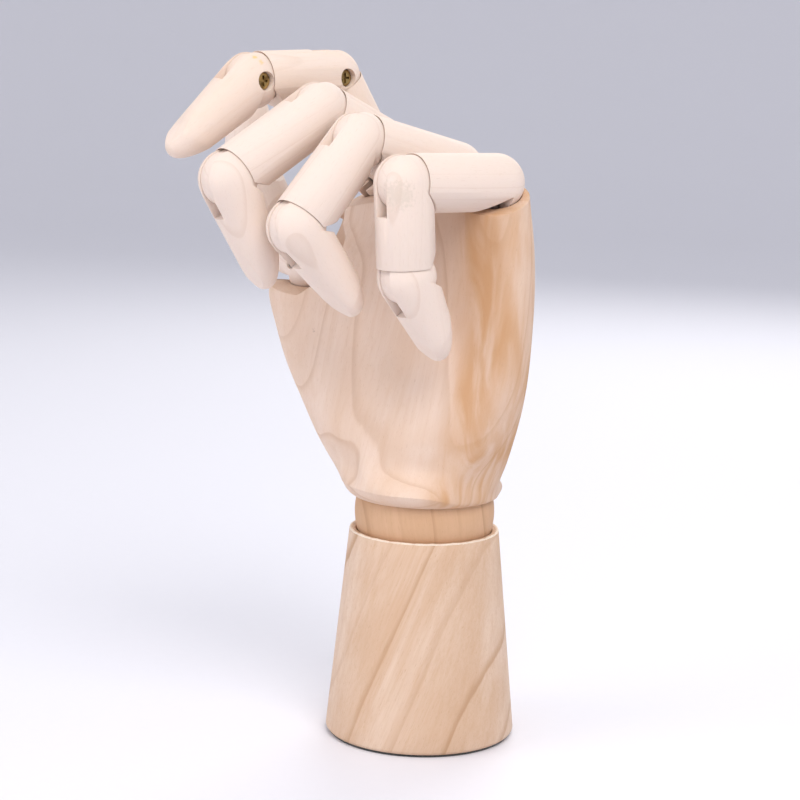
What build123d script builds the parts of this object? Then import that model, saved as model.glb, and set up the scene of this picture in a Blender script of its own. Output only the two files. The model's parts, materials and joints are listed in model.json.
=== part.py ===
from build123d import *
import math
import os

os.makedirs("parts", exist_ok=True)

# Jointed wooden left hand on a turned stand, in millimetres.
# +Z is up, the palm faces -Y, the thumb is on the -X side and the little finger on the +X side.
# The origin is the middle of the underside, on the surface that the stand rests on.

# ---------------------------------------------------------------- driving dimensions
FELT_R = 29.6
FELT_H = 0.8
BASE_BOTTOM_R = 31.0
BASE_TOP_R = 24.3
BASE_TOP_Z = 68.0
WRIST_Z = 74.0              # centre of the wrist ball
WRIST_R = 22.7
WRIST_HALF_H = 15.0         # the ball is cut flat this far above and below its centre
SEAT_GAP = 0.3              # clearance between a ball and its cup
SPINDLE_R = 4.0
SPINDLE_POCKET_R = 10.0
SPINDLE_POCKET_Z = 34.0
WRIST_EYE_SHANK_R = 3.0
WRIST_EYE_R = 6.0
WRIST_EYE_T = 5.0
WRIST_EYE_TOP = 118.0
WRIST_PIN_R = 2.0
WRIST_PIN_HALF = 16.0
WRIST_SLOT_W = 6.8
SPINDLE_TOP = WRIST_Z - WRIST_HALF_H
SPINDLE_BOTTOM = 8.0
WASHER_TOP_Z = SPINDLE_POCKET_Z
WASHER_H = 1.5
SPINDLE_NUT_H = 5.0
SPINDLE_NUT_R = 8.0
SPINDLE_SPRING_H = 14.0

FINGER_R = 9.0
KNUCKLE_PITCH = 19.3
KNUCKLE_Y = 1.1
CUP_R = FINGER_R + SEAT_GAP
CUP_LIP = 3.0               # the cup's lip stops this far short of the joint's centre
TONGUE_T = 4.4
TONGUE_R = 8.2
SLOT_W = 5.0
SLOT_DEPTH = 9.5
RELIEF_DEG = 50.0           # palm-side bevel on each member of a joint
TAPER_START = 2.0           # the last segment tapers from here to its end
TIP_R = 5.4
PAD_SHIFT = 0.8             # the round end's axis lies this far behind the finger's middle

SCREW_R = 1.5
RUNNING = 0.05
SCREW_HEAD_R = 2.7
SCREW_HEAD_H = 1.7
SCREW_SEAT = 5.2            # underside of the head, from the finger's middle
SCREW_END = 6.6
COUNTERBORE_R = 3.0
RECESS_W = 0.75
RECESS_L = 3.3
RECESS_D = 0.9

EYE_R = 3.4
EYE_T = 3.0
EYE_SHANK_R = 1.4
EYE_SLOT_W = 3.6
EYE_SLOT_TOP = 4.0
EYE_LENGTH = 20.2
BUSH_R = 3.6
BUSH_TOP = 9.9
BUSH_H = 2.6
EYE_NUT_R = 3.0
EYE_NUT_TOP = 17.6
EYE_NUT_H = 2.0
KNUCKLE_BORE_DEPTH = 21.0
SPRING_WIRE_R = 0.45
SPRING_MEAN_R = 2.35

# Each finger: name, number of pitches from the middle, knuckle height, segment lengths, segment angles,
# side of the screws.
# An angle is how far a segment leans from straight up towards the palm side.
FINGERS = [
    ("index", -1.5, 181.4, (36.9, 31.6, 37.0), (33.0, 92.0, 128.0), 1),
    ("middle", -0.5, 184.6, (43.1, 39.5, 37.0), (65.0, 121.0, 206.0), -1),
    ("ring", 0.5, 184.8, (39.8, 34.0, 36.0), (76.0, 138.0, 222.0), -1),
    ("little", 1.5, 182.2, (36.2, 28.1, 29.8), (89.0, 184.0, 211.5), -1),
]
THUMB_SEAT = Vector(-36.6, -21.2, 152.2)
THUMB_YAW = 10.0
THUMB_LENGTHS = (16.0, 26.0, 29.0)
THUMB_ANGLES = (-60.0, -33.0, -2.0)


# ---------------------------------------------------------------- frames
def lean(angle, palmward):
    """Unit vector that leans by angle degrees from straight up towards the palmward direction."""
    a = math.radians(angle)
    return Vector(0, 0, 1) * math.cos(a) + palmward * math.sin(a)


def segment_frame(joint, angle, palmward):
    """Frame of a segment: origin at its lower joint, X along the hinge, Z along the bone, Y to the back."""
    hinge = Vector(0, 0, 1).cross(palmward)
    return Plane(origin=joint, x_dir=hinge, z_dir=lean(angle, palmward))


def side_plane(frame, along=0.0, across=0.0):
    """Sketch plane across the hinge axis: sketch X is towards the back, sketch Y is along the bone."""
    middle = frame.origin + frame.z_dir * along + frame.x_dir * across
    return Plane(origin=middle, x_dir=frame.y_dir, z_dir=frame.x_dir)


def front_plane(frame):
    """Sketch plane through the hinge axis and the bone: X is along the hinge, Y along the bone."""
    return Plane(origin=frame.origin, x_dir=frame.x_dir, z_dir=-frame.y_dir)


def bone_axis(frame):
    return Axis(frame.origin, frame.z_dir)


# ---------------------------------------------------------------- joint features
def relief_wedge(frame, along, upward):
    """Bevel from a hinge axis that opens the palm side, above it (upward 1) or below it (-1)."""
    reach = 16.0
    rise = upward * reach * math.tan(math.radians(RELIEF_DEG))
    with BuildPart(mode=Mode.PRIVATE) as wedge:
        with BuildSketch(side_plane(frame, along)):
            with BuildLine():
                Polyline((0, 0), (-reach, 0), (-reach, rise), (0, 0))
            make_face()
        extrude(amount=2 * FINGER_R, both=True)
    return wedge.part


def ball(centre, radius):
    return Pos(centre) * Sphere(radius, mode=Mode.PRIVATE)


def rod(start, direction, length, radius):
    """Plain cylinder from a point along a direction."""
    return Plane(origin=start, z_dir=direction).location * Cylinder(
        radius, length, align=(Align.CENTER, Align.CENTER, Align.MIN), mode=Mode.PRIVATE
    )


def slab(frame, across, low, high):
    """Box centred on the hinge direction, between its low and high (back, along) corners."""
    depth = high[0] - low[0]
    height = high[1] - low[1]
    middle = side_plane(frame).from_local_coords(((low[0] + high[0]) / 2, (low[1] + high[1]) / 2, 0))
    place = Plane(origin=middle, x_dir=frame.y_dir, z_dir=frame.x_dir).location
    return place * Box(depth, height, across, mode=Mode.PRIVATE)


def screw_hole(frame, along, side):
    """Clearance hole from the counterbored cheek through the tongue and into the far cheek."""
    start = frame.origin + frame.z_dir * along + frame.x_dir * (side * 2 * FINGER_R)
    length = 2 * FINGER_R + SCREW_END + 0.4
    return rod(start, frame.x_dir * -side, length, SCREW_R + RUNNING)


def counterbore(frame, side):
    start = frame.origin + frame.x_dir * (side * SCREW_SEAT)
    return rod(start, frame.x_dir * side, 2 * FINGER_R, COUNTERBORE_R)


def tongue(frame, length):
    """Flat tongue with a round end, centred on the segment's upper joint."""
    with BuildPart(mode=Mode.PRIVATE) as plate:
        with BuildSketch(side_plane(frame, length)):
            Circle(TONGUE_R)
            with Locations((1.0, -6.0)):
                Rectangle(13.0, 12.0)
        extrude(amount=TONGUE_T / 2, both=True)
    return plate.part


def shaft_profile(frame, length):
    """Half outline of a segment, revolved about the bone: a ball end below and a flat end above."""
    with BuildSketch(front_plane(frame)) as outline:
        with BuildLine():
            CenterArc((0, 0), FINGER_R, -90, 90)
            Polyline((FINGER_R, 0), (FINGER_R, length), (0, length), (0, -FINGER_R))
        make_face()
    return outline.sketch


# ---------------------------------------------------------------- segments
def finger_root(name, frame, length, screw_side, lean_side):
    """First segment: a ball with a slot for its eye bolt below, and a tongue in a shallow cup above.

    It leans over its knuckle to the palm side (lean_side 1) or to the back (lean_side -1)."""
    notch = [(-14, -0.8), (-3.9, -0.8), (-9.2, 10.8), (-14, 10.8), (-14, -0.8)]
    slot_edges = sorted((-12 * lean_side, EYE_SLOT_TOP * lean_side))
    with BuildPart() as segment:
        add(shaft_profile(frame, length - CUP_LIP))
        revolve(axis=bone_axis(frame))
        add(ball(frame.origin + frame.z_dir * length, CUP_R), mode=Mode.SUBTRACT)
        add(relief_wedge(frame, length, -1), mode=Mode.SUBTRACT)
        with BuildSketch(side_plane(frame)):
            with BuildLine():
                Polyline(*[(lean_side * x, y) for x, y in notch])
            make_face()
        extrude(amount=2 * FINGER_R, both=True, mode=Mode.SUBTRACT)
        eye_slot = slab(frame, EYE_SLOT_W, (slot_edges[0], -12), (slot_edges[1], EYE_SLOT_TOP))
        add(eye_slot, mode=Mode.SUBTRACT)
        pin_start = frame.origin - frame.x_dir * (2 * FINGER_R)
        add(rod(pin_start, frame.x_dir, 2 * FINGER_R + 6.5, SCREW_R + RUNNING), mode=Mode.SUBTRACT)
        add(tongue(frame, length))
        add(screw_hole(frame, length, screw_side), mode=Mode.SUBTRACT)
    segment.part.label = name
    return segment.part


def forked_end(frame, screw_side):
    """Solids to take away from a revolved shaft so that its ball end becomes a fork."""
    bevel = relief_wedge(frame, 0, 1) - ball(frame.origin, FINGER_R + 0.06)
    slot = slab(frame, SLOT_W, (-12, -12), (12, SLOT_DEPTH))
    return [bevel, slot, screw_hole(frame, 0, screw_side), counterbore(frame, screw_side)]


def finger_middle(name, frame, length, screw_side):
    """Middle segment: a slotted ball end below, and a tongue in a shallow cup above."""
    with BuildPart() as segment:
        add(shaft_profile(frame, length - CUP_LIP))
        revolve(axis=bone_axis(frame))
        add(ball(frame.origin + frame.z_dir * length, CUP_R), mode=Mode.SUBTRACT)
        add(relief_wedge(frame, length, -1), mode=Mode.SUBTRACT)
        for cutter in forked_end(frame, screw_side):
            add(cutter, mode=Mode.SUBTRACT)
        add(tongue(frame, length))
        add(screw_hole(frame, length, screw_side), mode=Mode.SUBTRACT)
    segment.part.label = name
    return segment.part


def tip_profile(frame, length):
    """Half outline of the last segment: a ball end below and a gentle taper above."""
    with BuildSketch(front_plane(frame)) as outline:
        with BuildLine():
            CenterArc((0, 0), FINGER_R, -90, 90)
            Polyline((FINGER_R, 0), (FINGER_R, TAPER_START), (TIP_R, length), (0, length), (0, -FINGER_R))
        make_face()
    return outline.sketch


def pad_profile(frame, length):
    """Half outline of a fingertip's round end, about an axis that lies nearer the nail."""
    with BuildSketch(front_plane(frame)) as outline:
        with BuildLine():
            Polyline((0, length), (0, -14), (14, -14), (14, length - 18), (9.0, length - 18))
            Spline(
                (9.0, length - 18), (7.4, length - 11.5), (5.3, length - 5.2), (3.2, length - 1.6),
                (0, length), tangents=((-0.2, 1), (-1, 0)),
            )
        make_face()
    return outline.sketch


def finger_tip(name, frame, length, screw_side):
    """Last segment: a slotted ball end below, and a tapered fingertip with a flat nail and a round pad."""
    nail = 0.52 * length
    pad_frame = Plane(origin=frame.origin + frame.y_dir * PAD_SHIFT, x_dir=frame.x_dir, z_dir=frame.z_dir)
    with BuildPart() as segment:
        add(tip_profile(frame, length))
        revolve(axis=bone_axis(frame))
        add(pad_profile(pad_frame, length))
        revolve(axis=bone_axis(pad_frame), mode=Mode.INTERSECT)
        with BuildSketch(side_plane(frame)):
            with BuildLine():
                Polyline(
                    (-12, length + 1), (-12, -12), (12, -12), (12, nail), (7.4, nail),
                    (3.2, length), (3.2, length + 1), (-12, length + 1),
                )
            make_face()
        extrude(amount=2 * FINGER_R, both=True, mode=Mode.INTERSECT)
        for cutter in forked_end(frame, screw_side):
            add(cutter, mode=Mode.SUBTRACT)
    segment.part.label = name
    return segment.part


def joint_screw(name, frame, side):
    """Cross-head screw through a fork and the tongue between its cheeks."""
    seat = frame.origin + frame.x_dir * (side * SCREW_SEAT)
    head_top = Plane(origin=seat + frame.x_dir * (side * SCREW_HEAD_H), z_dir=frame.x_dir * side)
    with BuildPart() as screw:
        with BuildSketch(Plane(origin=seat, z_dir=frame.x_dir * side)):
            Circle(SCREW_HEAD_R)
        extrude(amount=SCREW_HEAD_H)
        fillet(screw.edges().filter_by(GeomType.CIRCLE).sort_by(Axis(seat, frame.x_dir * side))[-1], 0.7)
        with BuildSketch(Plane(origin=seat, z_dir=frame.x_dir * -side)):
            Circle(SCREW_R)
        extrude(amount=SCREW_SEAT + SCREW_END)
        with BuildSketch(head_top):
            Rectangle(RECESS_L, RECESS_W)
            Rectangle(RECESS_W, RECESS_L)
        extrude(amount=-RECESS_D, mode=Mode.SUBTRACT)
    screw.part.label = name
    return screw.part


# ---------------------------------------------------------------- knuckle hardware
def knuckle_frame(centre, palmward):
    return segment_frame(centre, 0, palmward)


def knuckle_eye(name, centre, palmward):
    """Eye bolt that holds a finger's ball down in its cup and turns in the palm."""
    frame = knuckle_frame(centre, palmward)
    with BuildPart() as eye:
        with BuildSketch(side_plane(frame)):
            Circle(EYE_R)
        extrude(amount=EYE_T / 2, both=True)
        add(rod(centre - Vector(0, 0, EYE_LENGTH), Vector(0, 0, 1), EYE_LENGTH - 2.0, EYE_SHANK_R))
        with BuildSketch(side_plane(frame)):
            Circle(SCREW_R + RUNNING)
        extrude(amount=EYE_T, both=True, mode=Mode.SUBTRACT)
    eye.part.label = name
    return eye.part


def knuckle_nut(name, centre):
    """Hexagon nut on the lower end of an eye bolt."""
    with BuildPart() as nut:
        with BuildSketch(Plane(origin=centre - Vector(0, 0, EYE_NUT_TOP))):
            RegularPolygon(EYE_NUT_R, 6)
            Circle(EYE_SHANK_R + RUNNING, mode=Mode.SUBTRACT)
        extrude(amount=-EYE_NUT_H)
    nut.part.label = name
    return nut.part


def knuckle_pin(name, frame):
    """Plain pin through a ball end and its eye bolt."""
    pin = rod(frame.origin - frame.x_dir * 8.0, frame.x_dir, 14.2, SCREW_R)
    pin.label = name
    return pin


def knuckle_bush(centre):
    """Flanged-down sleeve that guides an eye bolt and takes the spring's push."""
    with BuildPart() as bush:
        with BuildSketch(Plane(origin=centre - Vector(0, 0, BUSH_TOP))):
            Circle(BUSH_R)
            Circle(EYE_SHANK_R + 2 * RUNNING, mode=Mode.SUBTRACT)
        extrude(amount=-BUSH_H)
    return bush.part


def coil_spring(start, height, mean_r, wire_r, turns):
    """Compression spring that stands on a point, with its ends ground flat."""
    with BuildPart() as spring:
        with BuildLine(Plane(origin=start)) as path:
            Helix(pitch=height / turns, height=height, radius=mean_r)
        with BuildSketch(Plane(origin=path.line @ 0, z_dir=path.line % 0)):
            Circle(wire_r)
        sweep(path=path.line, is_frenet=True)
        keep = Plane(origin=start).location * Cylinder(
            mean_r + 2, height, align=(Align.CENTER, Align.CENTER, Align.MIN), mode=Mode.PRIVATE
        )
        add(keep, mode=Mode.INTERSECT)
    return spring.part


# ---------------------------------------------------------------- palm
# The palm's foot is round: height, centre (x, y) and radius.
PALM_FOOT = [
    (79.3, (-0.5, -1.0), 24.6),
    (84.0, (-0.7, -1.3), 25.8),
]
# Each level above it: height, little-finger edge (x, y, radius), thumb edge (x, y, radius),
# then the middle of the back and the middle of the palm side (y).
PALM_LEVELS = [
    (90.0, (8.6, 0.9, 17.9), (-11.0, -4.3, 20.9), 23.2, -25.6),
    (98.0, (14.2, 2.1, 16.2), (-17.6, -7.8, 19.0), 22.0, -23.9),
    (108.0, (20.2, 3.2, 14.0), (-25.0, -11.4, 16.5), 20.6, -21.4),
    (120.0, (25.0, 3.9, 12.2), (-32.0, -15.7, 14.2), 18.8, -18.0),
    (134.0, (27.3, 4.4, 11.3), (-36.6, -19.8, 12.4), 16.9, -14.6),
    (148.0, (28.3, 4.6, 10.9), (-37.4, -20.6, 11.9), 15.2, -12.2),
    (157.0, (28.7, 4.2, 10.7), (-33.6, -11.0, 11.3), 14.0, -11.0),
    (166.0, (28.9, 3.4, 10.5), (-30.4, -1.6, 10.9), 12.9, -10.3),
    (177.0, (29.0, 2.0, 10.1), (-29.2, 1.0, 10.4), 11.7, -9.6),
    (193.0, (28.7, 1.1, 9.0), (-29.0, 1.1, 9.8), 10.8, -8.8),
]
PALM_TOP_DROP = 5.6
PALM_TOP_SLOPE = 0.42


def smooth_outline(points, height):
    with BuildSketch(Plane.XY.offset(height)) as outline:
        with BuildLine():
            Spline(*points, periodic=True)
        make_face()
    return outline.sketch


def foot_outline(height, centre, radius):
    """Round outline, with its points opposite those of the levels above."""
    angles = (15, 45, 76, 91, 131, 164, 195, 225, 258, 269, 314, 346)
    rays = [Vector(math.cos(math.radians(a)), math.sin(math.radians(a))) for a in angles]
    return smooth_outline([Vector(*centre) + ray * radius for ray in rays], height)


def palm_outline(level):
    """Closed smooth outline of the palm at one height."""
    height, little, thumb, back_y, front_y = level
    lx, ly, lr = little
    tx, ty, tr = thumb
    middle_x = (lx + tx) / 2
    lean_back = (ly - ty) / (lx - tx) if lx > tx else 0
    side = math.atan(lean_back)
    back = Vector(-math.sin(side), math.cos(side))
    out = Vector(math.cos(side), math.sin(side))
    little_centre = Vector(lx, ly)
    thumb_centre = Vector(tx, ty)
    points = [
        little_centre + out * lr,
        little_centre + (out + back) * (lr * 0.7071),
        little_centre + back * lr,
        Vector(middle_x, back_y),
        thumb_centre + back * tr,
        thumb_centre + (back - out) * (tr * 0.7071),
        thumb_centre - out * tr,
        thumb_centre - (back + out) * (tr * 0.7071),
        thumb_centre - back * tr,
        Vector(middle_x, front_y),
        little_centre - back * lr,
        little_centre + (out - back) * (lr * 0.7071),
    ]
    return smooth_outline(points, height)


def make_palm(knuckles):
    with BuildPart() as palm:
        for height, centre, radius in PALM_FOOT:
            add(foot_outline(height, centre, radius))
        for level in PALM_LEVELS:
            add(palm_outline(level))
        loft()
        # the lower edge is rounded over
        with BuildSketch(Plane.XZ):
            with BuildLine():
                Line((0, PALM_FOOT[0][0]), (23.1, PALM_FOOT[0][0]))
                ThreePointArc((23.1, PALM_FOOT[0][0]), (25.2, 80.8), (26.7, 83.2))
                Polyline((26.7, 83.2), (33, 92), (70, 110), (70, 230), (0, 230), (0, PALM_FOOT[0][0]))
            make_face()
        revolve(axis=Axis.Z, mode=Mode.INTERSECT)
        # the top slopes down towards the palm side and arches over the four knuckles
        drop = Vector(0, 0, PALM_TOP_DROP)
        crown = [k - drop - Vector(0, KNUCKLE_Y, KNUCKLE_Y * PALM_TOP_SLOPE) for k in knuckles]
        with BuildSketch(Plane.XZ):
            with BuildLine():
                Spline(
                    (-48, crown[0].Z - 5.5), (crown[0].X, crown[0].Z), (crown[1].X, crown[1].Z),
                    (crown[2].X, crown[2].Z), (crown[3].X, crown[3].Z), (48, crown[3].Z - 5.0),
                )
                Polyline((48, crown[3].Z - 5.0), (48, 230), (-48, 230), (-48, crown[0].Z - 5.5))
            make_face()
        slope = Vector(0, -1, -PALM_TOP_SLOPE)
        extrude(amount=60, dir=slope, both=True, mode=Mode.SUBTRACT)
        for centre in knuckles:
            add(ball(centre, CUP_R), mode=Mode.SUBTRACT)
        # the thumb's seat is a cup with a saddle-shaped rim, low on the palm side and on the outside
        add(rod(THUMB_SEAT - Vector(0, 0, 5.4), Vector(0.207, -0.253, 1), 22, 13.0), mode=Mode.SUBTRACT)
        add(rod(THUMB_SEAT - Vector(0, 0, 5.4), Vector(-0.3, 0.2, 1), 22, 13.0), mode=Mode.SUBTRACT)
        add(ball(THUMB_SEAT, CUP_R), mode=Mode.SUBTRACT)
        for centre in [*knuckles, THUMB_SEAT]:
            bottom = centre - Vector(0, 0, KNUCKLE_BORE_DEPTH)
            add(rod(bottom, Vector(0, 0, 1), KNUCKLE_BORE_DEPTH, BUSH_R), mode=Mode.SUBTRACT)
        # underside: a cup for the wrist ball and a bore for the wrist's eye bolt
        add(ball(Vector(0, 0, WRIST_Z), WRIST_R + SEAT_GAP), mode=Mode.SUBTRACT)
        add(rod(Vector(0, 0, WRIST_Z), Vector(0, 0, 1), WRIST_EYE_TOP - WRIST_Z + 0.5, WRIST_EYE_SHANK_R),
            mode=Mode.SUBTRACT)
    palm.part.label = "palm"
    return palm.part


# ---------------------------------------------------------------- wrist and base
def make_felt():
    with BuildPart() as felt:
        with BuildSketch():
            Circle(FELT_R)
        extrude(amount=FELT_H)
    felt.part.label = "base_felt"
    return felt.part


def make_base():
    with BuildPart() as base:
        with BuildSketch(Plane.XZ):
            with BuildLine():
                Polyline(
                    (0, FELT_H), (BASE_BOTTOM_R - 0.9, FELT_H), (BASE_BOTTOM_R - 0.1, FELT_H + 1.0),
                    (BASE_TOP_R, BASE_TOP_Z), (0, BASE_TOP_Z), (0, FELT_H),
                )
            make_face()
        revolve(axis=Axis.Z)
        add(ball(Vector(0, 0, WRIST_Z), WRIST_R + SEAT_GAP), mode=Mode.SUBTRACT)
        add(rod(Vector(0, 0, 0), Vector(0, 0, 1), SPINDLE_POCKET_Z, SPINDLE_POCKET_R), mode=Mode.SUBTRACT)
        add(rod(Vector(0, 0, 0), Vector(0, 0, 1), BASE_TOP_Z, SPINDLE_R + 0.1), mode=Mode.SUBTRACT)
    base.part.label = "base"
    return base.part


def make_wrist_ball():
    """Barrel-shaped ball with a socket for the spindle below and a slot for the eye bolt above."""
    with BuildPart() as wrist:
        with BuildSketch(Plane.XZ):
            with BuildLine():
                end_deg = math.degrees(math.asin(WRIST_HALF_H / WRIST_R))
                flat = WRIST_R * math.cos(math.radians(end_deg))
                CenterArc((0, WRIST_Z), WRIST_R, -end_deg, 2 * end_deg)
                Polyline(
                    (flat, WRIST_Z + WRIST_HALF_H), (0, WRIST_Z + WRIST_HALF_H),
                    (0, WRIST_Z - WRIST_HALF_H), (flat, WRIST_Z - WRIST_HALF_H),
                )
            make_face()
        revolve(axis=Axis.Z)
        with BuildSketch(Plane.XY.offset(WRIST_Z - WRIST_EYE_R - 1.0)):
            Rectangle(WRIST_SLOT_W, 2 * WRIST_EYE_R + 4.0)
        extrude(amount=40, mode=Mode.SUBTRACT)
        add(rod(Vector(-40, 0, WRIST_Z), Vector(1, 0, 0), 40 + WRIST_PIN_HALF + 0.2, WRIST_PIN_R + RUNNING),
            mode=Mode.SUBTRACT)
        add(rod(Vector(0, 0, 0), Vector(0, 0, 1), SPINDLE_TOP + 6.0, SPINDLE_R), mode=Mode.SUBTRACT)
    wrist.part.label = "wrist_barrel"
    return wrist.part


def make_wrist_eye():
    """Eye bolt glued into the palm, hinged on the wrist's cross pin."""
    middle = Plane(origin=(0, 0, WRIST_Z), x_dir=(0, 1, 0), z_dir=(1, 0, 0))
    with BuildPart() as eye:
        with BuildSketch(middle):
            Circle(WRIST_EYE_R)
        extrude(amount=WRIST_EYE_T / 2, both=True)
        add(rod(Vector(0, 0, WRIST_Z + 4.0), Vector(0, 0, 1), WRIST_EYE_TOP - WRIST_Z - 4.0,
                WRIST_EYE_SHANK_R - 0.02))
        with BuildSketch(middle):
            Circle(WRIST_PIN_R + RUNNING)
        extrude(amount=WRIST_EYE_T, both=True, mode=Mode.SUBTRACT)
    eye.part.label = "wrist_eye_bolt"
    return eye.part


def make_spindle():
    """Spindle glued into the wrist ball, which turns in the base."""
    with BuildPart() as spindle:
        with BuildSketch(Plane.XY.offset(SPINDLE_BOTTOM)):
            Circle(SPINDLE_R - 0.02)
        extrude(amount=SPINDLE_TOP + 6.0 - SPINDLE_BOTTOM)
    spindle.part.label = "wrist_spindle"
    return spindle.part


def make_spindle_washer():
    with BuildPart() as washer:
        with BuildSketch(Plane.XY.offset(WASHER_TOP_Z)):
            Circle(SPINDLE_POCKET_R - 0.6)
            Circle(SPINDLE_R + 0.3, mode=Mode.SUBTRACT)
        extrude(amount=-WASHER_H)
    washer.part.label = "spindle_washer"
    return washer.part


def make_spindle_nut():
    nut_top = WASHER_TOP_Z - WASHER_H - SPINDLE_SPRING_H
    with BuildPart() as nut:
        with BuildSketch(Plane.XY.offset(nut_top)):
            RegularPolygon(SPINDLE_NUT_R, 6)
            Circle(SPINDLE_R, mode=Mode.SUBTRACT)
        extrude(amount=-SPINDLE_NUT_H)
    nut.part.label = "spindle_nut"
    return nut.part


# ---------------------------------------------------------------- build and write
def write(part, name):
    part.label = name
    export_step(part, f"parts/{name}.step")


def write_group(parts, name):
    group = Compound(label=name, children=parts)
    export_step(group, f"parts/{name}.step")


def write_digit(name, joint, palmward, lengths, angles, screw_side, names):
    """Three segments from a knuckle outwards, with their screws, pin, eye bolt and nut."""
    root_name, middle_name, tip_name, low_name, high_name = names
    lean_side = 1 if angles[0] > 0 else -1
    root = segment_frame(joint, angles[0], palmward)
    middle = segment_frame(joint + root.z_dir * lengths[0], angles[1], palmward)
    tip = segment_frame(middle.origin + middle.z_dir * lengths[1], angles[2], palmward)
    write(finger_root(root_name, root, lengths[0], screw_side, lean_side), f"{name}_{root_name}")
    write(finger_middle(middle_name, middle, lengths[1], screw_side), f"{name}_{middle_name}")
    write(finger_tip(tip_name, tip, lengths[2], screw_side), f"{name}_{tip_name}")
    write(joint_screw(low_name, middle, screw_side), f"{name}_{low_name}_screw")
    write(joint_screw(high_name, tip, screw_side), f"{name}_{high_name}_screw")
    write(knuckle_pin("pin", root), f"{name}_knuckle_pin")
    write(knuckle_eye("eye", joint, palmward), f"{name}_eye_bolt")
    write(knuckle_nut("nut", joint), f"{name}_eye_nut")


knuckles = [Vector(step * KNUCKLE_PITCH, KNUCKLE_Y, height) for _, step, height, _, _, _ in FINGERS]
for (name, _, _, lengths, angles, side), joint in zip(FINGERS, knuckles):
    write_digit(name, joint, Vector(0, -1, 0), lengths, angles, side,
                ("proximal", "middle", "distal", "pip", "dip"))

thumb_yaw = math.radians(THUMB_YAW)
thumb_palmward = Vector(math.cos(thumb_yaw), math.sin(thumb_yaw), 0)
write_digit("thumb", THUMB_SEAT, thumb_palmward, THUMB_LENGTHS, THUMB_ANGLES, 1,
            ("base", "proximal", "distal", "mcp", "ip"))

write(make_palm(knuckles), "palm")
seats = [*knuckles, THUMB_SEAT]
write_group([knuckle_bush(centre) for centre in seats], "knuckle_bushes")
spring_top = BUSH_TOP + BUSH_H
spring_height = EYE_NUT_TOP - spring_top
write_group([coil_spring(centre - Vector(0, 0, EYE_NUT_TOP), spring_height, SPRING_MEAN_R, SPRING_WIRE_R, 4)
             for centre in seats], "knuckle_springs")

write(make_wrist_eye(), "wrist_eye_bolt")
write(make_wrist_ball(), "wrist_barrel")
pin_start = Vector(-WRIST_PIN_HALF - 3, 0, WRIST_Z)
wrist_pin = rod(pin_start, Vector(1, 0, 0), 2 * WRIST_PIN_HALF + 3, WRIST_PIN_R)
write(wrist_pin, "wrist_pin")
write(make_spindle(), "wrist_spindle")
write(make_spindle_washer(), "spindle_washer")
nut_top = WASHER_TOP_Z - WASHER_H - SPINDLE_SPRING_H
write(coil_spring(Vector(0, 0, nut_top), SPINDLE_SPRING_H, 6.2, 1.0, 4.5), "spindle_spring")
write(make_spindle_nut(), "spindle_nut")
write(make_base(), "base")
write(make_felt(), "base_felt")
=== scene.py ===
import json
import math
import random

import bpy
from mathutils import Matrix, Vector


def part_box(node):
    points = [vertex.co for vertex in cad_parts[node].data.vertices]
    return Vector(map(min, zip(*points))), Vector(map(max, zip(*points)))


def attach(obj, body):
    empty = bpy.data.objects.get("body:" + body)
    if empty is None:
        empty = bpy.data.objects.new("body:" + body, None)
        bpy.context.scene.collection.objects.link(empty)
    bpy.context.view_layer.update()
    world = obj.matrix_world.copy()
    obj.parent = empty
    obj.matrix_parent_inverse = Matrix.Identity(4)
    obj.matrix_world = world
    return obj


# Jointed wooden left hand on a turned stand. +Z is up, the palm faces -Y, the thumb is on the -X side.
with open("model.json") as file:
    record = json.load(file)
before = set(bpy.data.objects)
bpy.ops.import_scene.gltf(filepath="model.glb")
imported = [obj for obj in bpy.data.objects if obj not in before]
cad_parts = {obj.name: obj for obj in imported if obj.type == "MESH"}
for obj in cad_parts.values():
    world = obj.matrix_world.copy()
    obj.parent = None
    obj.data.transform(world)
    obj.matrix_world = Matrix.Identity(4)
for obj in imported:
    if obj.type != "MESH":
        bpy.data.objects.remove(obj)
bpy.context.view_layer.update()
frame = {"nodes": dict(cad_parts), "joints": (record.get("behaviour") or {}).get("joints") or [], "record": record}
nodes = frame["nodes"]
MM = 0.001

# ---------------------------------------------------------------- sizes and places, in millimetres
BASE_TOP_Z = 68.0
BASE_TOP_R = 24.3
SEED = 11

# The camera stands off the little-finger side and a little above the knuckles.
CAMERA_AZIMUTH = 50.5
CAMERA_DISTANCE = 691.0
CAMERA_HEIGHT = 227.0
CAMERA_YAW = 0.73
CAMERA_PITCH = 9.61
CAMERA_ROLL = 1.33
CAMERA_LENS = 97.7

# The studio, in metres.
FLOOR_RADIUS = 1.8
SWEEP_RADIUS = 1.2
WALL_TOP = 2.2


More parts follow.
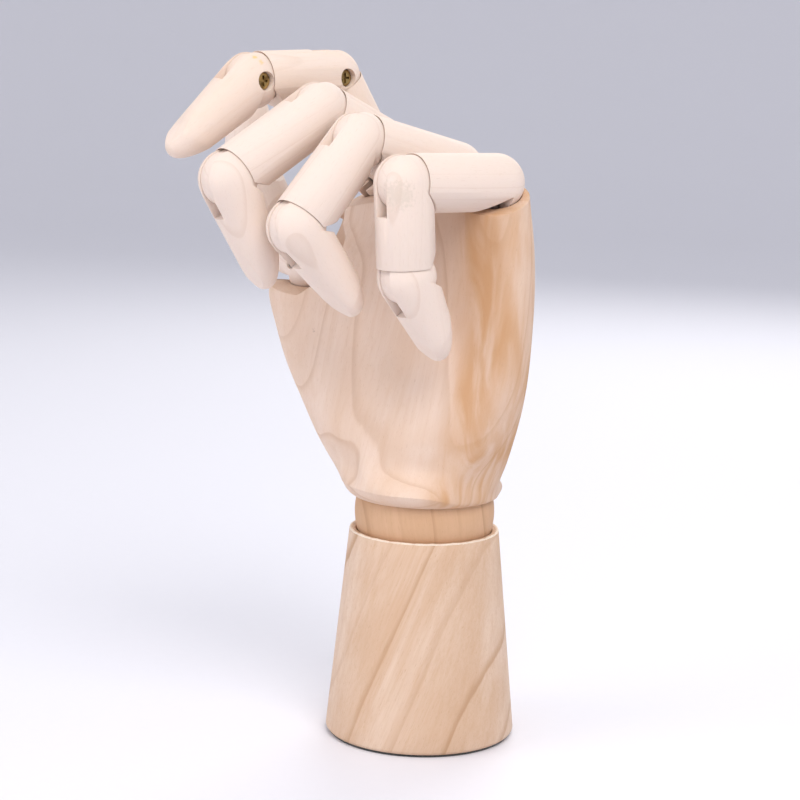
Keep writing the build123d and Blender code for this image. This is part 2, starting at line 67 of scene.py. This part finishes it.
# ---------------------------------------------------------------- node helpers
class Graph:
    """One material's node tree, with a short way to add and join nodes."""

    def __init__(self, name):
        self.material = bpy.data.materials.new(name)
        self.material.use_nodes = True
        self.tree = self.material.node_tree
        self.tree.nodes.clear()
        self.output = self.tree.nodes.new("ShaderNodeOutputMaterial")

    def plug(self, socket, value):
        if isinstance(value, bpy.types.NodeSocket):
            self.tree.links.new(value, socket)
        elif value is not None:
            socket.default_value = value

    def add(self, kind, settings=None, **inputs):
        node = self.tree.nodes.new(kind)
        for key, value in (settings or {}).items():
            setattr(node, key, value)
        for key, value in inputs.items():
            self.plug(node.inputs[key.replace("_", " ")], value)
        return node

    def math(self, operation, a, b=None, c=None, clamp=False):
        node = self.add("ShaderNodeMath", {"operation": operation, "use_clamp": clamp})
        for socket, value in zip(node.inputs, (a, b, c)):
            self.plug(socket, value)
        return node.outputs[0]

    def vector(self, operation, a, b=None, scale=None):
        node = self.add("ShaderNodeVectorMath", {"operation": operation})
        self.plug(node.inputs[0], a)
        self.plug(node.inputs[1], b)
        if scale is not None:
            self.plug(node.inputs["Scale"], scale)
        return node.outputs["Value" if operation in ("LENGTH", "DOT_PRODUCT", "DISTANCE") else "Vector"]

    def noise(self, vector, scale=1.0, detail=2.0, roughness=0.5, distortion=0.0):
        return self.add("ShaderNodeTexNoise", None, Vector=vector, Scale=scale, Detail=detail,
                        Roughness=roughness, Distortion=distortion)

    def ramp(self, value, low, high, out_low=0.0, out_high=1.0):
        """Smooth step from out_low to out_high while the value goes from low to high."""
        node = self.add("ShaderNodeMapRange", {"interpolation_type": "SMOOTHSTEP"})
        for socket, number in zip(node.inputs, (value, low, high, out_low, out_high)):
            self.plug(socket, number)
        return node.outputs["Result"]

    def blend(self, factor, a, b, mode="MIX"):
        node = self.add("ShaderNodeMix", {"data_type": "RGBA", "blend_type": mode})
        for index, value in ((0, factor), (6, a), (7, b)):  # the colour sockets of a Mix node
            self.plug(node.inputs[index], value)
        return node.outputs[2]

    def finish(self, shader):
        self.tree.links.new(shader.outputs["BSDF"], self.output.inputs["Surface"])
        return self.material


def colour(r, g, b):
    return (r, g, b, 1.0)


# ---------------------------------------------------------------- wood
CREAM = colour(0.81, 0.675, 0.585)
PALE = colour(0.77, 0.595, 0.465)
BLUSH = colour(0.80, 0.635, 0.525)
HONEY = colour(0.67, 0.455, 0.31)
AMBER = colour(0.67, 0.425, 0.265)
TAN = colour(0.57, 0.345, 0.195)
LINE = colour(0.45, 0.25, 0.13)
# warm heartwood brown, also used as painted shade in the palm band
HEART_AND_SHADE = colour(0.57, 0.305, 0.135)
FRESH = colour(0.90, 0.80, 0.66)


def grain_frame(origin, bone, tilt=(0.0, 0.0)):
    """Frame with Z along the grain; tilt leans the growth rings away from the bone, in degrees."""
    z = Vector(bone).normalized()
    x = Vector((1, 0, 0)) if abs(z.x) < 0.8 else Vector((0, 1, 0))
    y = z.cross(x).normalized()
    x = y.cross(z).normalized()
    turn = Matrix((x, y, z)).transposed()
    lean = Matrix.Rotation(math.radians(tilt[0]), 3, "X") @ Matrix.Rotation(math.radians(tilt[1]), 3, "Y")
    return Vector(origin), turn @ lean


def wood(name, place, light, dark, pith=(30.0, 42.0), ring=6.5, line=0.35, warp=7.0, mottle=0.5,
         fibre=0.5, fleck=0.5, heart_and_shade=None, marks=(), seed=0.0):
    """Bare sanded wood: growth rings about a pith, fibres and pores along the grain, end grain, marks."""
    g = Graph(name)
    origin, turn = place
    inverse = turn.transposed()
    coordinates = g.add("ShaderNodeTexCoord")
    shift = inverse @ Vector(origin) * -1.0 + Vector((seed * 37.0, seed * 23.0, seed * 51.0))
    mapping = g.add("ShaderNodeMapping", {"vector_type": "POINT"}, Vector=coordinates.outputs["Object"],
                    Location=shift, Rotation=inverse.to_euler("XYZ"), Scale=(1000.0, 1000.0, 1000.0))
    local = mapping.outputs["Vector"]

    # growth rings: distance from a wandering pith, with a thin dark line at the end of each year
    slow = g.noise(g.vector("MULTIPLY", local, (0.030, 0.030, 0.0075)), detail=2.0)
    wander = g.vector("MULTIPLY", g.vector("SUBTRACT", slow.outputs["Color"], (0.5, 0.5, 0.5)),
                      (0.8 * warp, 0.8 * warp, 0.0))
    centre = Vector((pith[0] + seed * 37.0, pith[1] + seed * 23.0, 0.0))
    from_pith = g.vector("SUBTRACT", g.vector("ADD", local, wander), centre)
    across = g.vector("MULTIPLY", from_pith, (1.0, 1.0, 0.0))
    ripple = g.noise(g.vector("MULTIPLY", local, (0.35, 0.35, 0.03)), detail=3.0).outputs["Fac"]
    years = g.math("DIVIDE", g.vector("LENGTH", across), ring)
    years = g.math("ADD", years, g.math("MULTIPLY", ripple, 0.05))
    phase = g.math("FRACT", years)
    late = g.math("MULTIPLY", g.ramp(phase, 0.74, 0.95), g.ramp(phase, 0.955, 1.0, 1.0, 0.0))
    thin = g.math("POWER", late, 2.5)
    each = g.noise(g.add("ShaderNodeCombineXYZ", None, X=g.math("FLOOR", years), Y=0.37).outputs[0],
                   scale=3.1, detail=0.0).outputs["Fac"]
    strength = g.math("MULTIPLY", g.ramp(each, 0.32, 0.68, 0.25, 1.0), line)

    # broad bands and fibres
    band = g.noise(g.vector("MULTIPLY", local, (0.055, 0.055, 0.0085)), detail=3.0, distortion=0.6)
    band = band.outputs["Fac"]
    fine = g.noise(g.vector("MULTIPLY", local, (1.9, 1.9, 0.045)), detail=4.0, roughness=0.65).outputs["Fac"]
    streaks = g.noise(g.vector("MULTIPLY", local, (0.55, 0.55, 0.012)), detail=2.0).outputs["Fac"]
    base = g.blend(g.math("MULTIPLY", g.ramp(band, 0.3, 0.7), mottle), light, dark)
    base = g.blend(g.math("MULTIPLY", g.ramp(streaks, 0.42, 0.75), 0.42 * mottle), base, dark)
    base = g.blend(g.math("MULTIPLY", g.ramp(fine, 0.35, 0.75), 0.30 * fibre), base, dark)
    base = g.blend(g.math("MULTIPLY", late, g.math("MULTIPLY", strength, 0.30)), base, dark)
    base = g.blend(g.math("MULTIPLY", thin, strength), base, LINE)

    # heartwood band, partly painted shade: a warm dark band about a plane that runs with the grain, which also
    # paints the shade of the palm hollow and under the little finger
    if heart_and_shade:
        at, direction, width, amount = heart_and_shade
        row = g.vector("MULTIPLY", coordinates.outputs["Object"], (1000.0, 1000.0, 1000.0))
        meander = g.noise(g.vector("MULTIPLY", row, (0.03, 0.03, 0.012)), detail=2.0).outputs["Fac"]
        off = g.math("SUBTRACT", g.vector("DOT_PRODUCT", row, direction), at)
        off = g.math("ADD", off, g.math("MULTIPLY", g.math("SUBTRACT", meander, 0.5), 34.0))
        heart_and_shade_band = g.ramp(g.math("ABSOLUTE", off), 0.15 * width, width, 1.0, 0.0)
        cloud = g.noise(g.vector("MULTIPLY", row, (0.12, 0.12, 0.022)), detail=3.0, distortion=1.2)
        heart_and_shade_band = g.math("MULTIPLY", heart_and_shade_band, g.ramp(cloud.outputs["Fac"], 0.32, 0.66, 0.35, 1.0))
        base = g.blend(g.math("MULTIPLY", heart_and_shade_band, amount), base, HEART_AND_SHADE)

    # pores: short dark dashes along the grain
    dash = g.noise(g.vector("MULTIPLY", local, (4.4, 4.4, 0.42)), detail=1.0).outputs["Fac"]
    pores = g.ramp(dash, 0.63, 0.74)
    base = g.blend(g.math("MULTIPLY", pores, 0.34 * fleck), base, LINE)

    # end grain drinks light: darker and duller where the surface cuts across the fibres
    along = tuple(turn @ Vector((0, 0, 1)))
    facing = g.math("ABSOLUTE", g.vector("DOT_PRODUCT", coordinates.outputs["Normal"], along))
    speck = g.noise(g.vector("MULTIPLY", local, (2.6, 2.6, 2.6)), detail=3.0).outputs["Fac"]
    end = g.ramp(facing, 0.55, 1.0)
    base = g.blend(g.math("MULTIPLY", end, g.ramp(speck, 0.3, 0.7, 0.10, 0.42)), base, dark)

    roughness = g.ramp(fine, 0.3, 0.75, 0.58, 0.72)
    for spot, radius, tint, amount in marks:
        row = g.vector("MULTIPLY", coordinates.outputs["Object"], (1000.0, 1000.0, 1000.0))
        ragged = g.noise(g.vector("MULTIPLY", row, (1.1, 1.1, 1.1)), detail=3.0).outputs["Fac"]
        reach = g.math("ADD", g.vector("DISTANCE", row, spot),
                       g.math("MULTIPLY", g.math("SUBTRACT", ragged, 0.5), 1.6 * radius))
        mask = g.math("MULTIPLY", g.ramp(reach, 0.35 * radius, radius, 1.0, 0.0), amount)
        base = g.blend(mask, base, tint)

    grainy = g.math("ADD", g.math("MULTIPLY", fine, 0.7), g.math("MULTIPLY", pores, -0.5))
    bump = g.add("ShaderNodeBump", None, Strength=0.22, Distance=0.00012, Height=grainy)
    shader = g.add("ShaderNodeBsdfPrincipled", None, Base_Color=base, Roughness=roughness, IOR=1.45,
                   Normal=bump.outputs["Normal"])
    shader.inputs["Specular IOR Level"].default_value = 0.26
    shader.inputs["Subsurface Weight"].default_value = 0.06
    shader.inputs["Subsurface Scale"].default_value = 0.0015
    shader.inputs["Subsurface Radius"].default_value = (1.0, 0.55, 0.3)
    return g.finish(shader)


# ---------------------------------------------------------------- metal, and the near-black pad that paints the contact shadow under the stand
def metal(name, tint, shade, roughness):
    """Plated steel or brass with turning marks and tarnish in patches."""
    g = Graph(name)
    point = g.add("ShaderNodeTexCoord").outputs["Object"]
    patch = g.noise(point, scale=420.0, detail=4.0).outputs["Fac"]
    scratch = g.noise(g.vector("MULTIPLY", point, (900.0, 2600.0, 2600.0)), detail=3.0).outputs["Fac"]
    base = g.blend(g.ramp(patch, 0.38, 0.68), tint, shade)
    rough = g.math("ADD", g.ramp(patch, 0.3, 0.7, roughness - 0.08, roughness + 0.14),
                   g.math("MULTIPLY", scratch, 0.08))
    bump = g.add("ShaderNodeBump", None, Strength=0.25, Distance=0.00003, Height=scratch)
    shader = g.add("ShaderNodeBsdfPrincipled", None, Base_Color=base, Metallic=1.0, Roughness=rough,
                   Normal=bump.outputs["Normal"])
    return g.finish(shader)


def felt(name):
    """Short matted fibres, near-black: painted shadow, a dark pad that stands for the contact shadow line under
    the stand.
    """
    g = Graph(name)
    point = g.add("ShaderNodeTexCoord").outputs["Object"]
    matted = g.noise(point, scale=1500.0, detail=5.0, roughness=0.7, distortion=1.5).outputs["Fac"]
    patch = g.noise(point, scale=130.0, detail=2.0).outputs["Fac"]
    # near-black colours: painted contact shadow along the bottom of the stand
    base = g.blend(g.ramp(matted, 0.3, 0.7), colour(0.018, 0.02, 0.019), colour(0.075, 0.08, 0.075))
    base = g.blend(g.math("MULTIPLY", patch, 0.3), base, colour(0.10, 0.105, 0.10))
    bump = g.add("ShaderNodeBump", None, Strength=0.8, Distance=0.0003, Height=matted)
    shader = g.add("ShaderNodeBsdfPrincipled", None, Base_Color=base, Roughness=0.95,
                   Normal=bump.outputs["Normal"])
    shader.inputs["Sheen Weight"].default_value = 0.5
    return g.finish(shader)


# ---------------------------------------------------------------- finishes for the CAD nodes
def soften(node, width=0.28):
    """Sanded edges and smooth curved faces."""
    for polygon in node.data.polygons:
        polygon.use_smooth = True
    weld = node.modifiers.new("weld", "WELD")
    weld.merge_threshold = 1e-6
    bevel = node.modifiers.new("sanded_edges", "BEVEL")
    bevel.width = width * MM
    bevel.segments = 2
    bevel.limit_method = "ANGLE"
    bevel.angle_limit = math.radians(32)
    bevel.harden_normals = True


def finish_node(name, material, width=None):
    node = nodes[name]
    node.data.materials.clear()
    node.data.materials.append(material)
    if width:
        soften(node, width)


joint_at = {joint["name"]: Vector(joint.get("pos_m", (0, 0, 0))) / MM for joint in frame["joints"]}


def segment_place(here, beyond, tilt=(0.0, 0.0)):
    return grain_frame(here, beyond - here, tilt)


GLUE = colour(0.80, 0.55, 0.18)
KNOT = colour(0.20, 0.10, 0.05)
GREY_WOOD = colour(0.62, 0.53, 0.43)
FINGER_NODES = ("proximal", "middle", "distal")
FINGER_LOOKS = {
    "index": (PALE, 0.55, [((-23.9, -52.5, 218.5), 1.0, GLUE, 0.75),
                           ((-22.1, -51.5, 217.0), 1.2, GLUE, 0.55)]),
    "middle": (CREAM, 0.40, []),
    "ring": (CREAM, 0.42, []),
    "little": (CREAM, 0.45, [((33.9, -40.5, 180.0), 6.0, GREY_WOOD, 0.45)]),
    "thumb": (CREAM, 0.45, []),
}
for order, (digit, (dark, mottle, marks)) in enumerate(FINGER_LOOKS.items()):
    if digit == "thumb":
        stops = [joint_at["thumb_root_hinge"], joint_at["thumb_mcp"], joint_at["thumb_ip"]]
        members = ("base", "proximal", "distal")
    else:
        stops = [joint_at[f"{digit}_mcp"], joint_at[f"{digit}_pip"], joint_at[f"{digit}_dip"]]
        members = FINGER_NODES
    low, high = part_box(f"{digit}_distal")
    stops.append((low + high) / (2 * MM))
    for step, member in enumerate(members):
        seed = 1.0 + order * 3 + step
        place = segment_place(stops[step], stops[step + 1], (3.0 * math.sin(seed), 4.0 * math.cos(seed)))
        material = wood(f"wood_{digit}_{member}", place, CREAM, dark, ring=5.0 + 1.6 * math.sin(2.3 * seed),
                        line=0.13, mottle=mottle, fibre=0.45, fleck=0.35, warp=5.0, marks=marks, seed=seed,
                        pith=(24.0 + 8.0 * math.sin(seed), 30.0))
        finish_node(f"{digit}_{member}", material, 0.28)

palm_place = grain_frame((0, 0, 130), (0, 0, 1), (-9.0, 5.0))
# on the palm the heart band is partly real heartwood and partly painted shade, from the palm hollow and from under
# the little finger
finish_node("palm", wood("wood_palm", palm_place, BLUSH, HONEY, pith=(-14.0, 44.0), ring=6.5, line=0.38,
                         warp=11.0, mottle=0.50, fibre=0.6, fleck=0.6, seed=3.4,
                         heart_and_shade=(22.0, (1.0, 0.12, -0.06), 12.0, 0.85),
                         marks=[((-24.0, -29.0, 132.0), 1.2, KNOT, 0.8)]), 0.30)
base_place = grain_frame((0, 0, 34), (0.236, 0.292, 0.927))
finish_node("base", wood("wood_base", base_place, PALE, TAN, pith=(-61.0, -82.0), ring=14.0, line=0.62,
                         warp=15.0, mottle=0.55, fibre=0.9, fleck=0.9, seed=6.1), 0.35)
wrist_place = grain_frame((0, 0, 74), (0, 0, 1), (6.0, -8.0))
finish_node("wrist_barrel", wood("wood_wrist", wrist_place, AMBER, TAN, pith=(40.0, 46.0), ring=9.0,
                                 line=0.5, warp=7.0, mottle=0.7, fibre=0.9, fleck=0.8, seed=7.7), 0.28)

brass = metal("screw_brass", colour(0.46, 0.33, 0.13), colour(0.20, 0.13, 0.05), 0.34)
zinc = metal("hardware_steel", colour(0.52, 0.52, 0.53), colour(0.30, 0.30, 0.32), 0.36)
wire = metal("spring_steel", colour(0.40, 0.40, 0.42), colour(0.18, 0.18, 0.20), 0.30)
slot_finish = {"screw_brass": (brass, 0.06), "hardware_steel": (zinc, 0.08), "spring_steel": (wire, None)}
for part in frame["record"]["subparts"]:
    if part["material_slot"] in slot_finish:
        finish_node(part["node"], *slot_finish[part["material_slot"]])
# the near-black pad under the stand is painted shadow: it stands for the contact shadow line along the bottom of
# the base
finish_node("base_felt", felt("felt"), 0.1)


# ---------------------------------------------------------------- torn fibres round the top of the stand
def torn_rim():
    """Ragged lip and loose splinters where the cup was cut through the end of the stand."""
    chance = random.Random(SEED)
    vertices = []
    faces = []
    steps = 240
    for i in range(steps):
        a = 2 * math.pi * i / steps
        ragged = 0.5 + 0.5 * math.sin(11 * a + 1.3) * math.sin(29 * a) + 0.45 * (chance.random() - 0.5)
        for radius, height in (
            (BASE_TOP_R - 0.02, BASE_TOP_Z - 0.15 - 0.25 * ragged),
            (BASE_TOP_R - 0.10, BASE_TOP_Z + 0.06 + 0.10 * ragged),
            (BASE_TOP_R - 0.45 - 0.25 * ragged, BASE_TOP_Z + 0.10 + 0.22 * ragged),
            (BASE_TOP_R - 0.80 - 0.30 * ragged, BASE_TOP_Z - 0.05 + 0.12 * ragged),
            (BASE_TOP_R - 0.75, BASE_TOP_Z - 0.60),
        ):
            vertices.append((radius * math.cos(a) * MM, radius * math.sin(a) * MM, height * MM))
    for i in range(steps):
        here, there = 5 * i, 5 * ((i + 1) % steps)
        for k in range(5):
            nxt = (k + 1) % 5
            faces.append((here + k, there + k, there + nxt, here + nxt))
    for _ in range(150):
        a = chance.uniform(0, 2 * math.pi)
        length = chance.uniform(0.5, 1.6)
        width = chance.uniform(0.10, 0.24)
        radius = BASE_TOP_R - chance.uniform(0.02, 0.6)
        root = Vector((radius * math.cos(a), radius * math.sin(a), BASE_TOP_Z - 0.1))
        round_the_rim = Vector((-math.sin(a), math.cos(a), 0)) * chance.choice((-1, 1))
        outward = Vector((math.cos(a), math.sin(a), 0))
        tip = root + round_the_rim * length + Vector((0, 0, chance.uniform(-0.9, 0.45)))
        tip += outward * chance.uniform(-0.2, 0.15)
        start = len(vertices)
        for corner in (root - outward * width, root + outward * width, root + Vector((0, 0, width)), tip):
            vertices.append(tuple(corner * MM))
        faces += [(start, start + 1, start + 2), (start, start + 3, start + 1),
                  (start + 1, start + 3, start + 2), (start + 2, start + 3, start)]
    mesh = bpy.data.meshes.new("torn_rim")
    mesh.from_pydata(vertices, [], faces)
    rim = bpy.data.objects.new("torn_rim", mesh)
    bpy.context.scene.collection.objects.link(rim)
    return rim


rim = torn_rim()
rim_place = grain_frame((0, 0, BASE_TOP_Z), (0, 0, 1))
rim.data.materials.append(wood("torn_fibres", rim_place, FRESH, PALE, line=0.1, mottle=0.6, fibre=0.8,
                               fleck=0.2, seed=9.3))
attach(rim, "stand")


# ---------------------------------------------------------------- floor, light and camera
def floor():
    """Round studio floor that sweeps up into a low wall, so no horizon shows."""
    profile = [(0.6, 0.0), (1.2, 0.0), (FLOOR_RADIUS, 0.0)]
    for t in range(1, 9):
        turn = t * math.pi / 16
        profile.append((FLOOR_RADIUS + SWEEP_RADIUS * math.sin(turn), SWEEP_RADIUS * (1 - math.cos(turn))))
    profile.append((FLOOR_RADIUS + SWEEP_RADIUS, WALL_TOP))
    steps = 96
    vertices = []
    faces = []
    for radius, height in profile:
        for i in range(steps):
            a = 2 * math.pi * i / steps
            vertices.append((radius * math.cos(a), radius * math.sin(a), height))
    for row in range(len(profile) - 1):
        for i in range(steps):
            j = (i + 1) % steps
            faces.append((row * steps + j, row * steps + i, (row + 1) * steps + i, (row + 1) * steps + j))
    faces.append(tuple(range(steps)))
    mesh = bpy.data.meshes.new("floor")
    mesh.from_pydata(vertices, [], faces)
    for polygon in mesh.polygons:
        polygon.use_smooth = True
    sweep = bpy.data.objects.new("floor", mesh)
    bpy.context.scene.collection.objects.link(sweep)
    g = Graph("floor")
    point = g.add("ShaderNodeTexCoord").outputs["Object"]
    grain = g.noise(point, scale=260.0, detail=4.0).outputs["Fac"]
    base = g.blend(g.math("MULTIPLY", grain, 0.25), colour(0.83, 0.82, 0.86), colour(0.76, 0.75, 0.80))
    shader = g.add("ShaderNodeBsdfPrincipled", None, Base_Color=base, Roughness=0.6)
    sweep.data.materials.append(g.finish(shader))


def soft_light(name, place, target, size, power, tint):
    light = bpy.data.lights.new(name, "AREA")
    light.shape = "DISK"
    light.size = size
    light.energy = power
    light.color = tint
    lamp = bpy.data.objects.new(name, light)
    bpy.context.scene.collection.objects.link(lamp)
    lamp.location = Vector(place)
    lamp.rotation_euler = (Vector(target) - Vector(place)).to_track_quat("-Z", "Y").to_euler()


def studio():
    world = bpy.data.worlds.new("studio")
    bpy.context.scene.world = world
    world.use_nodes = True
    background = world.node_tree.nodes["Background"]
    background.inputs["Color"].default_value = (0.92, 0.94, 1.0, 1.0)
    background.inputs["Strength"].default_value = 0.72
    middle = (0.0, 0.0, 0.13)
    soft_light("key", (0.75, -0.30, 0.95), middle, 0.7, 8.0, (1.0, 0.98, 0.96))
    soft_light("fill", (-0.35, -0.95, 0.55), middle, 0.9, 3.8, (0.97, 0.97, 1.0))
    soft_light("back", (-0.55, 0.80, 0.70), middle, 0.8, 4.0, (1.0, 0.99, 0.97))


def camera():
    azimuth = math.radians(CAMERA_AZIMUTH)
    place = Vector((math.sin(azimuth), -math.cos(azimuth), 0.0)) * CAMERA_DISTANCE
    place.z = CAMERA_HEIGHT
    heading = azimuth + math.radians(CAMERA_YAW)
    pitch = math.radians(CAMERA_PITCH)
    roll = math.radians(CAMERA_ROLL)
    forward = Vector((-math.sin(heading), math.cos(heading), 0.0)) * math.cos(pitch)
    forward.z = -math.sin(pitch)
    level = Vector((math.cos(heading), math.sin(heading), 0.0))
    up = level.cross(forward)
    right = math.cos(roll) * level + math.sin(roll) * up
    upright = math.cos(roll) * up - math.sin(roll) * level
    data = bpy.data.cameras.new("camera")
    data.sensor_width = 36.0
    data.lens = CAMERA_LENS
    data.clip_start, data.clip_end = 0.01, 20.0
    eye = bpy.data.objects.new("camera", data)
    bpy.context.scene.collection.objects.link(eye)
    turn = Matrix((right, upright, -forward)).transposed()
    eye.matrix_world = Matrix.Translation(place * MM) @ turn.to_4x4()
    bpy.context.scene.camera = eye


floor()
studio()
camera()
bpy.context.scene.view_settings.view_transform = "Standard"

bpy.context.view_layer.update()
